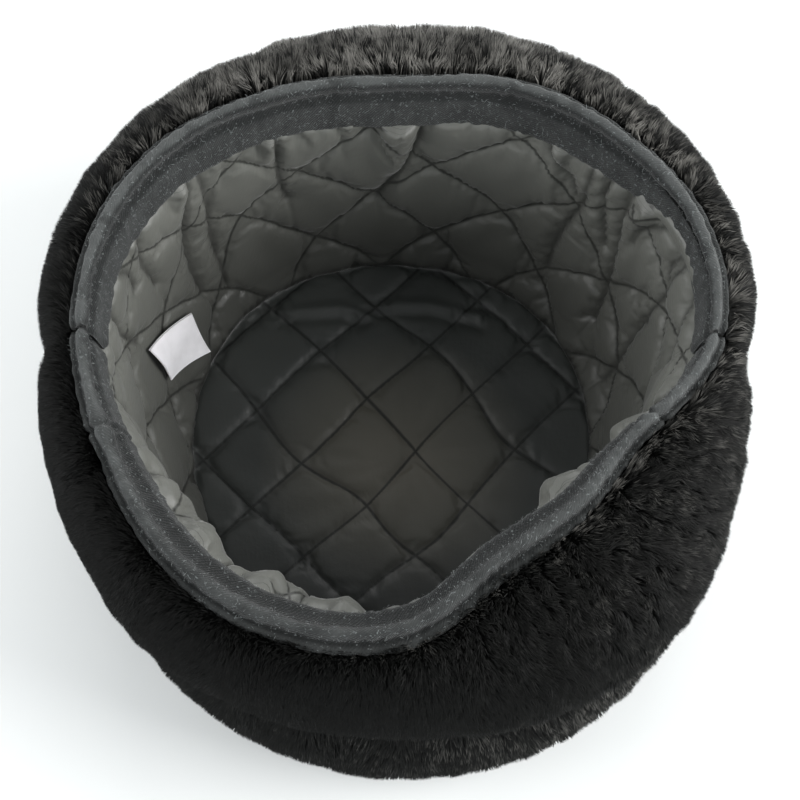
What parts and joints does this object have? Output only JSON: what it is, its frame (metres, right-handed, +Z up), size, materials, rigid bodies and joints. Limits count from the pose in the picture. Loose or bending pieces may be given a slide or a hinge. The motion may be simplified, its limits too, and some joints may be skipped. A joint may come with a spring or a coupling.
{
  "type": "ushanka",
  "caption": "Dark faux fur winter hat with turned-up flaps and a quilted lining, lying on its crown with the opening up.",
  "frame": {"origin": "middle of the bounding box on the floor, under the crown that the hat lies on", "axes": "+Z up out of the opening, -Y towards the wearer's front, -X towards the wearer's left side"},
  "size_m": [0.2376, 0.2504, 0.118],
  "materials": {
    "fur": "matte",
    "band_cloth": "matte",
    "lining_satin": "satin",
    "label_cloth": "satin"
  },
  "bodies": {
    "root": {"crown_side": "fur", "crown_tip": "fur", "front_flap": "fur", "back_flap": "fur", "front_band": "band_cloth", "back_band": "band_cloth", "lining_side": "lining_satin", "lining_tip": "lining_satin", "care_label": "label_cloth"}
  },
  "joints": []
}
